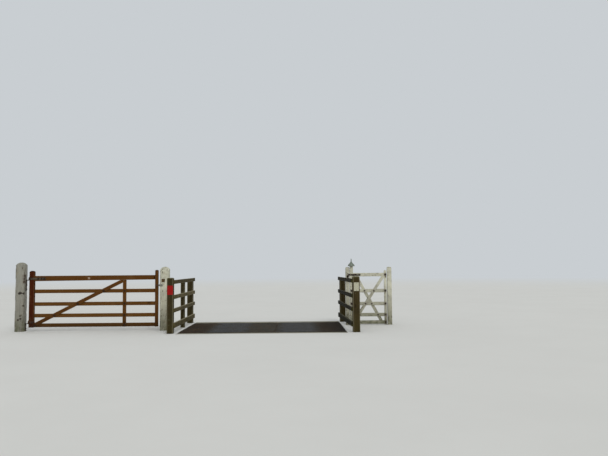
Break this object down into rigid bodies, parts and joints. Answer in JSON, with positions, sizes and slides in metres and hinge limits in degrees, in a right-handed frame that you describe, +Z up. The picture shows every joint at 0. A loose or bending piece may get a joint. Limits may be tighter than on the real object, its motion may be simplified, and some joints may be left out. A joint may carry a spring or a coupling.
{
  "type": "cattle grid",
  "caption": "Roadside cattle grid: steel bars over a concrete pit, timber wing fences, a timber field gate and a small white walkers' gate beside it.",
  "frame": {"origin": "middle of the pit's underside, in the middle of the grid", "axes": "+X across the road to the right, +Y along the road away from the viewer, +Z up"},
  "size_m": [8.962, 2.94, 2.152],
  "materials": {
    "concrete": "weathered cast concrete, rough",
    "grid_steel": "rusty hot-rolled steel, polished by tyres along the wheel tracks",
    "ironwork": "forged iron, dull, rust-stained",
    "weathered_timber": "bare sawn softwood, grey-brown, mossy on top",
    "brown_timber": "sawn hardwood, red-brown stain, weathered",
    "white_timber": "timber with old white paint, flaking and stained",
    "red_reflector": "red reflective sheet on an aluminium plate",
    "white_reflector": "white reflective sheet on an aluminium plate",
    "yellow_marker": "small yellow way-marker plate, left bare",
    "cap_metal": "pale grey painted sheet metal"
  },
  "bodies": {
    "installation": {"pit_floor": "concrete", "near_kerb": "concrete", "far_kerb": "concrete", "left_side_wall": "concrete", "right_side_wall": "concrete", "left_bearers": "grid_steel", "right_bearers": "grid_steel", "left_bars": "grid_steel", "right_bars": "grid_steel", "end_plates": "grid_steel", "left_near_post": "weathered_timber", "left_middle_post": "weathered_timber", "left_far_post": "weathered_timber", "left_wing_rails": "weathered_timber", "left_top_rail": "weathered_timber", "right_near_post": "weathered_timber", "right_far_post": "weathered_timber", "right_wing_rails": "weathered_timber", "red_plate": "red_reflector", "white_plate": "white_reflector", "hanging_post": "white_timber", "shutting_post": "white_timber", "wicket_hanging_post": "white_timber", "wicket_slam_post": "white_timber", "top_hook": "ironwork", "bottom_hook": "ironwork", "catch_plate": "ironwork", "wicket_hooks": "ironwork", "square_plate": "yellow_marker"},
    "field_gate": {"gate_heel": "brown_timber", "gate_toe": "brown_timber", "gate_top_rail": "brown_timber", "gate_rails": "brown_timber", "gate_brace": "brown_timber", "gate_upright": "brown_timber", "top_strap": "ironwork", "bottom_strap": "ironwork", "gate_latch": "ironwork"},
    "walkers_gate": {"wicket_heel": "white_timber", "wicket_toe": "white_timber", "wicket_rails": "white_timber", "wicket_front_brace": "white_timber", "wicket_back_brace": "white_timber", "wicket_straps": "ironwork", "wicket_cap": "cap_metal"}
  },
  "joints": [
    {"name": "field_gate_hinge", "type": "hinge", "parent": "installation", "child": "field_gate", "pos_m": [-5.5, -0.55, 1.2], "axis": [0, 0, 1], "range_deg": [-90, 0]},
    {"name": "walkers_gate_hinge", "type": "hinge", "parent": "installation", "child": "walkers_gate", "pos_m": [2.064, 0.275, 1.2], "axis": [0, 0, 1], "range_deg": [-90, 0]}
  ]
}
